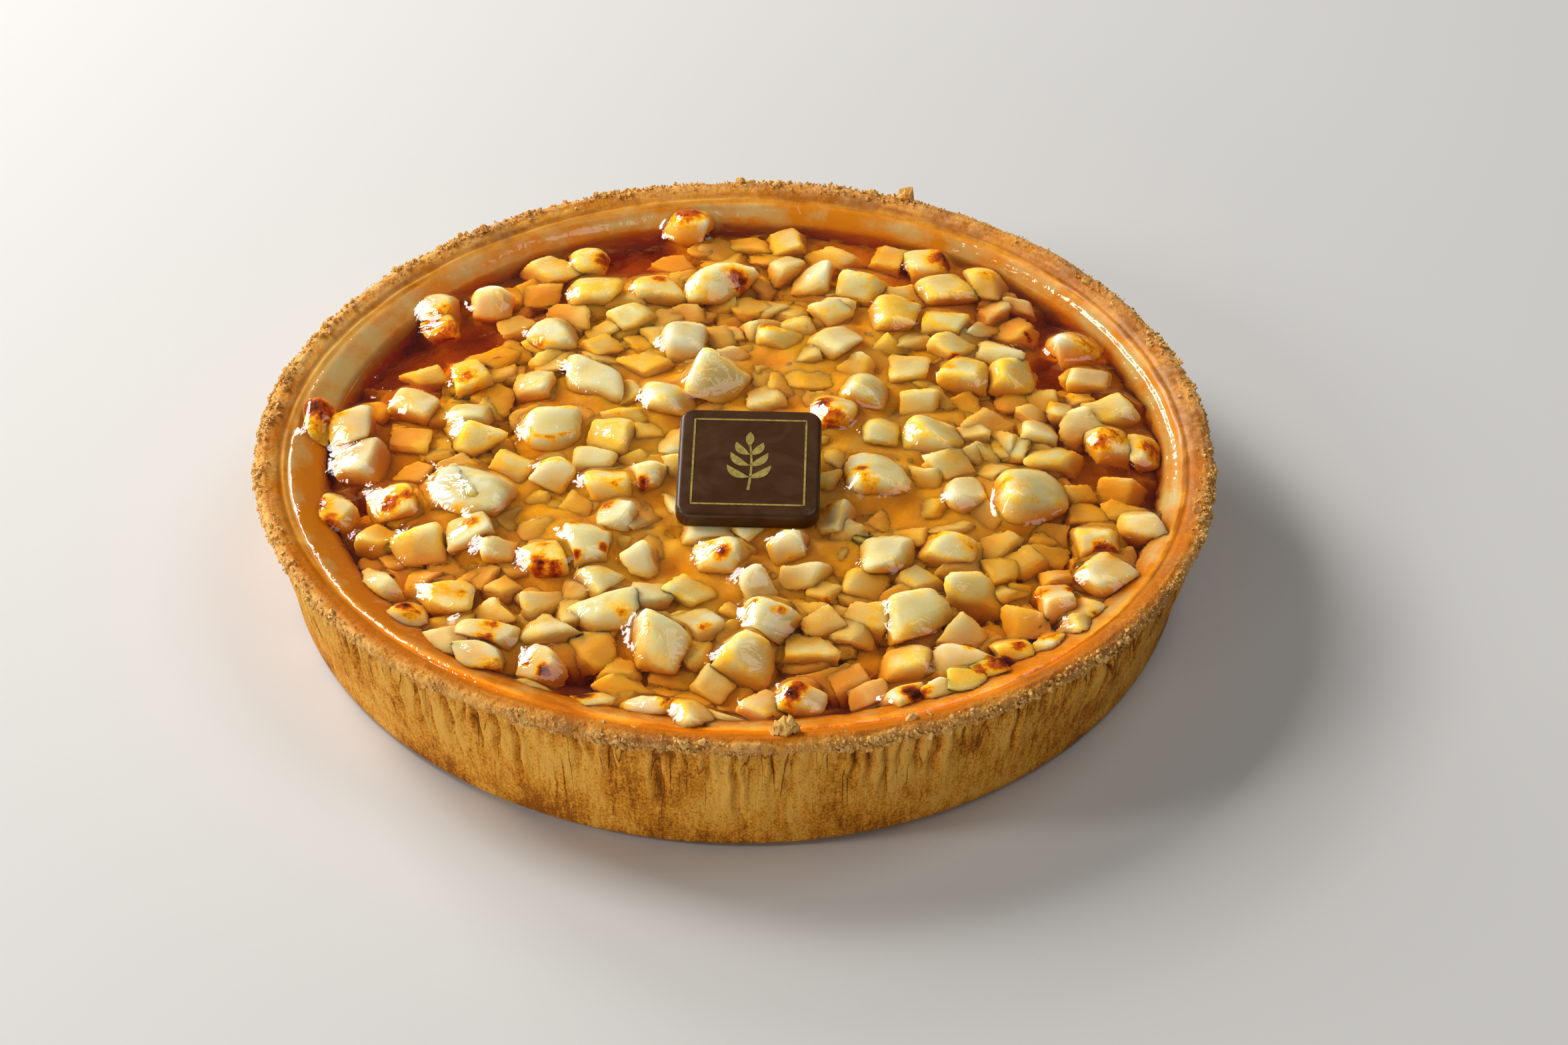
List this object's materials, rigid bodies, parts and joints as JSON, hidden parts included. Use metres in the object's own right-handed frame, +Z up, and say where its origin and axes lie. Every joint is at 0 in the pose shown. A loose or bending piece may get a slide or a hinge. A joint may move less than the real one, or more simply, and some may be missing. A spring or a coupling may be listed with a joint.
{
  "type": "french apple tart",
  "caption": "Round deep apple tart: pleated pastry shell with a crumbly lip, apple dice set in amber jelly, and a small square chocolate plaque on top.",
  "frame": {"origin": "centre of the flat base of the pastry shell, on the surface that the tart stands on", "axes": "+Z up out of the filling, +X to the right and -Y towards the viewer of the picture"},
  "size_m": [0.2409, 0.2403, 0.0433],
  "materials": {
    "baked_pastry": "baked shortcrust, golden brown, matt and crumbly with a glazed inner edge",
    "jellied_apple": "pale apple dice, some browned, under clear amber jelly with a wet gloss",
    "dark_chocolate": "dark chocolate, satin gloss"
  },
  "bodies": {
    "root": {"pastry_shell": "baked_pastry", "apple_filling": "jellied_apple", "chocolate_plaque": "dark_chocolate"}
  },
  "joints": []
}
